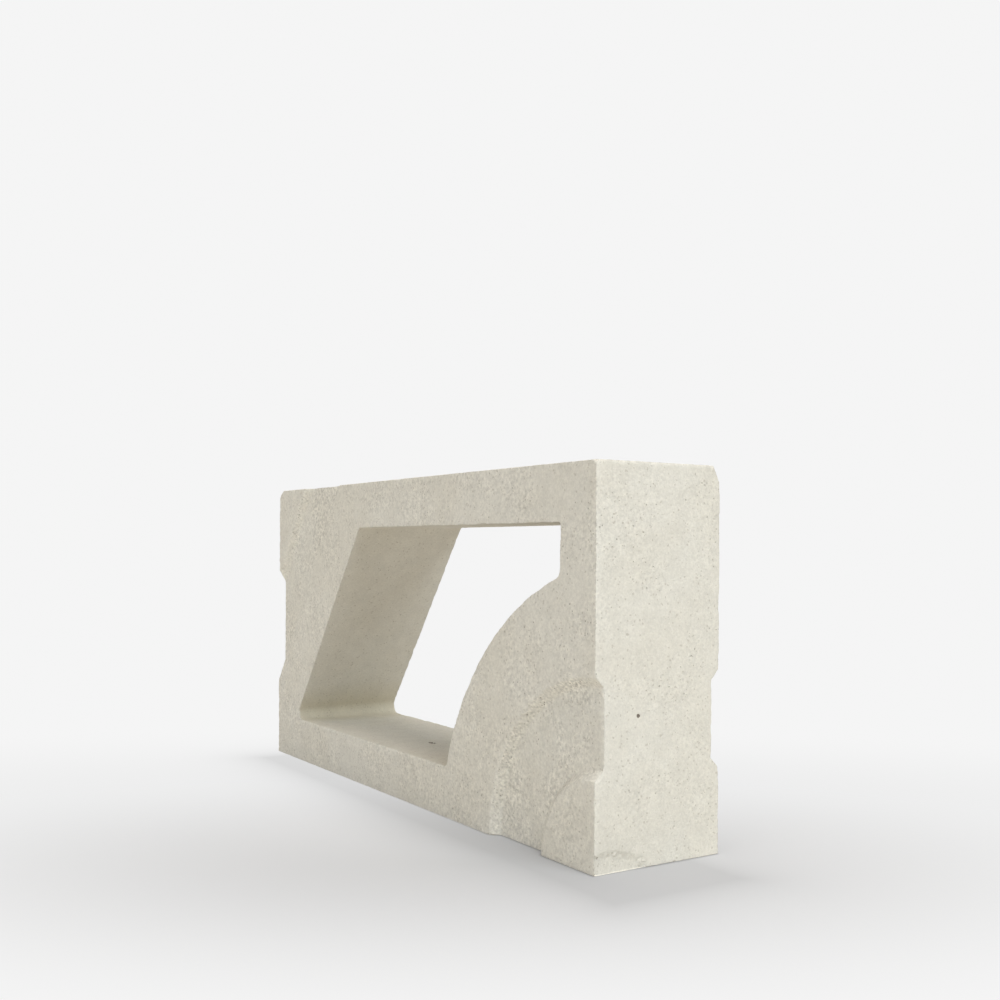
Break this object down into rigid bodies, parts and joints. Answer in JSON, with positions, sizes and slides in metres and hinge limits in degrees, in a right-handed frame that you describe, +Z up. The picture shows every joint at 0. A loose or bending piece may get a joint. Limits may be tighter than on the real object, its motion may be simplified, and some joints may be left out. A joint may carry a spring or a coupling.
{
  "type": "concrete block",
  "caption": "Cast concrete screen block standing on edge, with a see-through opening between a slanted and a curved edge, and shallow grooves across its faces.",
  "frame": {"origin": "middle of the underside, the long narrow face that the block stands on", "axes": "+X along the length towards the end with the curved edge, +Y through the thickness, +Z up"},
  "size_m": [0.4, 0.08, 0.2],
  "materials": {
    "concrete": "matte, cream, fine sandy cast surface with small pinholes"
  },
  "bodies": {
    "root": {"block": "concrete"}
  },
  "joints": []
}
